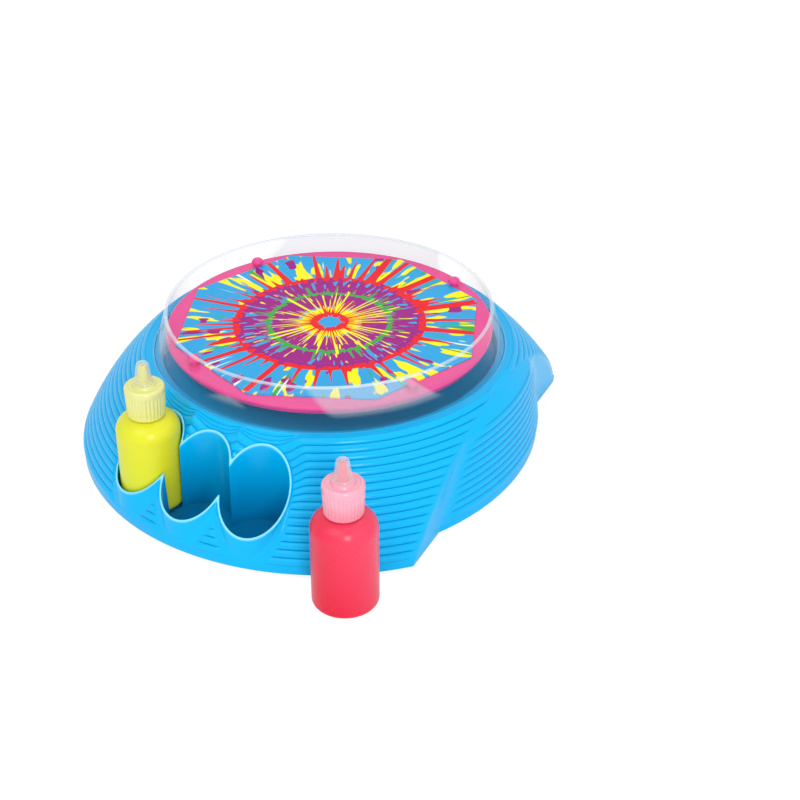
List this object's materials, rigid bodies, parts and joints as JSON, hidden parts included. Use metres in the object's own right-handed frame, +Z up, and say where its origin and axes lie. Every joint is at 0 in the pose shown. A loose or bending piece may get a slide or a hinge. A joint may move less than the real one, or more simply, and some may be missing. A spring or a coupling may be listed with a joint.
{
  "type": "spin art machine",
  "caption": "Battery spin art machine: a ribbed domed base spins a pegged round tray that holds a paint card inside a clear splash guard, with cups for paint bottles.",
  "frame": {"origin": "on the spindle's axis, on the table under the middle of the bottom cover's rest pad", "axes": "+Z up along the spindle; -Y towards the side with the bottle cups"},
  "size_m": [0.2598, 0.3008, 0.0859],
  "materials": {
    "base_plastic": "moulded, satin gloss",
    "cover_plastic": "moulded, fine texture",
    "foot_rubber": "moulded rubber",
    "zinc_steel": "zinc plated",
    "cell_sleeve": "printed sleeve, plain",
    "nickel_contact": "nickel plated",
    "bush_bronze": "sintered bronze",
    "gear_plastic": "natural acetal",
    "plate_plastic": "moulded",
    "spindle_steel": "ground",
    "motor_steel": "drawn, plated",
    "motor_cap_plastic": "moulded",
    "tray_plastic": "moulded, gloss",
    "card_paint": "coated card with dried paint",
    "guard_clear": "clear moulded styrene",
    "yellow_bottle_plastic": "translucent polyethylene",
    "yellow_paint": "liquid paint",
    "yellow_cap_plastic": "translucent polyethylene",
    "red_bottle_plastic": "translucent polyethylene",
    "red_paint": "liquid paint",
    "red_cap_plastic": "translucent polyethylene"
  },
  "bodies": {
    "base": {"base_shell": "base_plastic", "bottom_cover": "cover_plastic", "rubber_feet": "foot_rubber", "cover_screws": "zinc_steel", "battery_door": "cover_plastic", "battery_door_screw": "zinc_steel", "battery_cells": "cell_sleeve", "contact_springs": "nickel_contact", "contact_plates": "nickel_contact", "upper_bush": "bush_bronze", "lower_bush": "bush_bronze", "thrust_washer": "gear_plastic", "gearbox_plate": "plate_plastic", "gearbox_screws": "zinc_steel", "idler_pin": "spindle_steel", "motor_can": "motor_steel", "motor_end_cap": "motor_cap_plastic", "motor_screws": "zinc_steel", "switch_body": "motor_cap_plastic"},
    "turntable": {"spindle": "spindle_steel", "spindle_gear": "gear_plastic", "retaining_clip": "spindle_steel", "drive_hub": "gear_plastic", "turntable_tray": "tray_plastic", "tray_screw": "zinc_steel", "paint_card": "card_paint"},
    "idler": {"compound_gear": "gear_plastic"},
    "motor_rotor": {"motor_shaft": "spindle_steel", "motor_pinion": "bush_bronze"},
    "button": {"power_button": "tray_plastic"},
    "guard": {"splash_guard": "guard_clear"},
    "yellow_bottle_body": {"yellow_bottle": "yellow_bottle_plastic", "yellow_paint": "yellow_paint"},
    "yellow_cap_body": {"yellow_cap": "yellow_cap_plastic"},
    "yellow_tip_body": {"yellow_tip": "yellow_cap_plastic"},
    "red_bottle_body": {"red_bottle": "red_bottle_plastic", "red_paint": "red_paint"},
    "red_cap_body": {"red_cap": "red_cap_plastic"},
    "red_tip_body": {"red_tip": "red_cap_plastic"}
  },
  "joints": [
    {"name": "tray_spin", "type": "hinge", "parent": "base", "child": "turntable", "pos_m": [0, 0, 0.06], "axis": [0, 0, 1], "continuous": true},
    {"name": "idler_spin", "type": "hinge", "parent": "base", "child": "idler", "pos_m": [0, 0.024, 0.04], "axis": [0, 0, 1], "continuous": true},
    {"name": "motor_spin", "type": "hinge", "parent": "base", "child": "motor_rotor", "pos_m": [-0.01351, 0.0318, 0.04], "axis": [0, 0, 1], "continuous": true},
    {"name": "button_press", "type": "slide", "parent": "base", "child": "button", "axis": [0, -0.8027, -0.5964], "range_m": [0, 0.0025], "stiffness_N_per_m": 900, "springref_m": -0.001},
    {"name": "guard_lift", "type": "slide", "parent": "base", "child": "guard", "axis": [0, 0, 1], "range_m": [0, 0.06]},
    {"name": "yellow_bottle_lift", "type": "slide", "parent": "base", "child": "yellow_bottle_body", "axis": [0, 0, 1], "range_m": [0, 0.07]},
    {"name": "yellow_cap_turn", "type": "hinge", "parent": "yellow_bottle_body", "child": "yellow_cap_body", "pos_m": [-0.08743, -0.07502, 0.06], "axis": [0, 0, 1], "range_deg": [0, 360]},
    {"name": "yellow_tip_pull", "type": "slide", "parent": "yellow_cap_body", "child": "yellow_tip_body", "axis": [0, 0, 1], "range_m": [0, 0.014]},
    {"name": "red_bottle_lift", "type": "slide", "parent": "base", "child": "red_bottle_body", "axis": [0, 0, 1], "range_m": [0, 0.07]},
    {"name": "red_cap_turn", "type": "hinge", "parent": "red_bottle_body", "child": "red_cap_body", "pos_m": [0.01158, -0.15055, 0.06], "axis": [0, 0, 1], "range_deg": [0, 360]},
    {"name": "red_tip_pull", "type": "slide", "parent": "red_cap_body", "child": "red_tip_body", "axis": [0, 0, 1], "range_m": [0, 0.014]}
  ],
  "couplings": [
    {"joint": "idler_spin", "follows": "tray_spin", "ratio": -4},
    {"joint": "motor_spin", "follows": "tray_spin", "ratio": 16.8}
  ]
}
